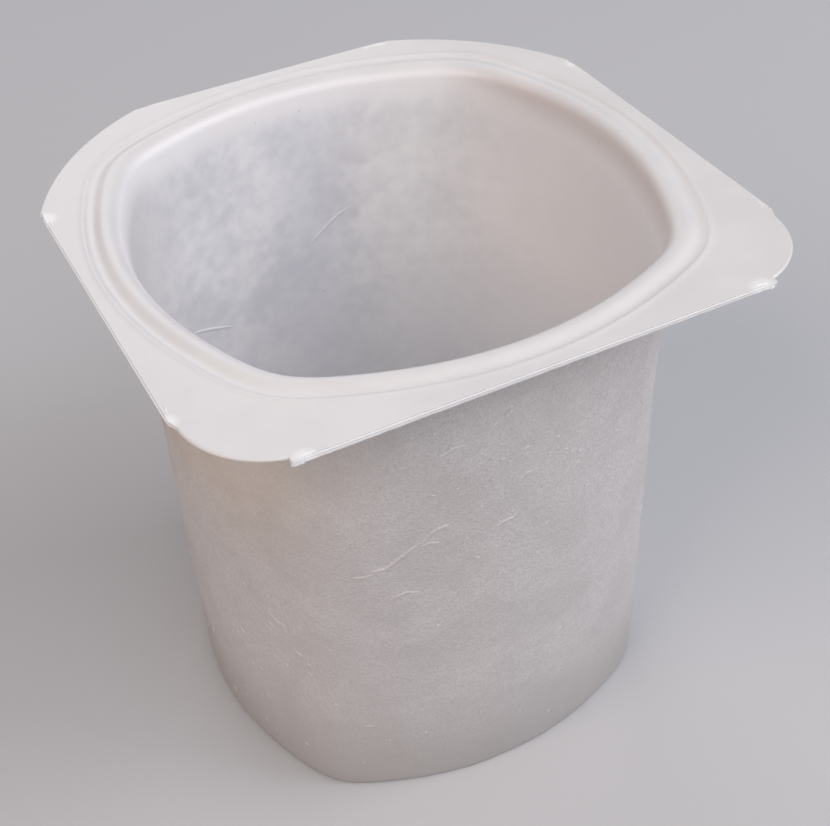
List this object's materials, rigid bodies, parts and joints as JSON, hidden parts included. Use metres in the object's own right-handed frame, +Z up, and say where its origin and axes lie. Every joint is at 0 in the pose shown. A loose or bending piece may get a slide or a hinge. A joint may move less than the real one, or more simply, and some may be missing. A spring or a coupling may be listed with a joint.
{
  "type": "yogurt pot",
  "caption": "Small empty yogurt pot with a square flange round its mouth and a torn paper band round its wall.",
  "frame": {"origin": "on the cup's axis, at the level of the foot it stands on", "axes": "+Z up along the cup's axis, out of its mouth; -Y towards the flange edge that lies between the two small corners; +X to the right of it"},
  "size_m": [0.063, 0.063, 0.0615],
  "materials": {
    "cup_plastic": "satin off-white moulded polystyrene",
    "band_paper": "matt fibrous paper, left where the printed face was torn away"
  },
  "bodies": {
    "root": {"pot": "cup_plastic", "paper_band": "band_paper"}
  },
  "joints": []
}
